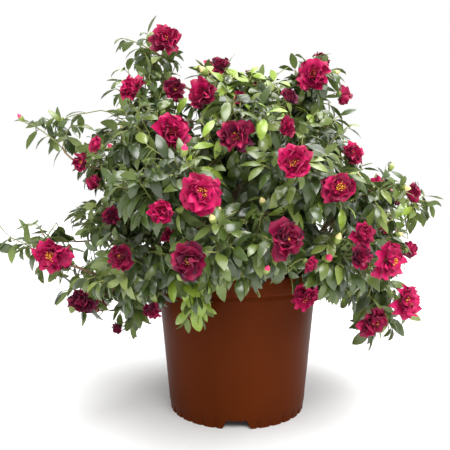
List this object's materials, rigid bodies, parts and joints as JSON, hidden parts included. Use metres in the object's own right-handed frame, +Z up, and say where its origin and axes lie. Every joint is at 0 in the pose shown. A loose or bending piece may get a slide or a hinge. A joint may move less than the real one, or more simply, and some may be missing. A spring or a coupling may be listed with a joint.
{
  "type": "potted camellia shrub",
  "caption": "Bushy evergreen camellia shrub in full bloom, standing in its round tapered nursery pot with a rolled lip and a notched, fluted heel.",
  "frame": {"origin": "on the pot's axis, on the surface that the pot stands on", "axes": "+Z up, -Y towards the front that the plant is seen from, +X to the right"},
  "size_m": [0.7702, 0.6533, 0.6682],
  "materials": {
    "pot_plastic": "satin brown moulded plastic",
    "potting_mix": "rough bark and peat mix",
    "bark": "fine grey-brown bark",
    "foliage": "glossy dark green leaves",
    "bloom": "soft crimson petals"
  },
  "bodies": {
    "root": {"pot": "pot_plastic", "potting_mix": "potting_mix", "stem": "bark", "bough_top": "bark", "bough_high_front": "bark", "bough_high_back": "bark", "bough_high_left": "bark", "bough_high_right": "bark", "bough_upper_front": "bark", "bough_upper_left": "bark", "bough_back_left": "bark", "bough_back_right": "bark", "bough_front_left": "bark", "bough_front_right": "bark", "bough_left": "bark", "bough_right": "bark", "bough_back": "bark", "foliage_hanging_right": "foliage", "foliage_hanging_left": "foliage", "foliage_hanging_front": "foliage", "foliage_low_front": "foliage", "foliage_low_front_right": "foliage", "foliage_low_right": "foliage", "foliage_low_back_right": "foliage", "foliage_low_back": "foliage", "foliage_low_back_left": "foliage", "foliage_low_left": "foliage", "foliage_low_front_left": "foliage", "foliage_middle_front": "foliage", "foliage_middle_front_right": "foliage", "foliage_middle_right": "foliage", "foliage_middle_far_right": "foliage", "foliage_middle_back_right": "foliage", "foliage_middle_back": "foliage", "foliage_middle_back_left": "foliage", "foliage_middle_left": "foliage", "foliage_upper_front": "foliage", "foliage_upper_right": "foliage", "foliage_upper_back_right": "foliage", "foliage_upper_back": "foliage", "foliage_upper_back_left": "foliage", "foliage_upper_left": "foliage", "foliage_upper_front_left": "foliage", "foliage_high_front": "foliage", "foliage_high_right": "foliage", "foliage_high_back": "foliage", "foliage_high_middle": "foliage", "foliage_high_left": "foliage", "foliage_tip_top": "foliage", "foliage_tip_far_left": "foliage", "foliage_tip_left": "foliage", "foliage_tip_right": "foliage"}
  },
  "joints": []
}
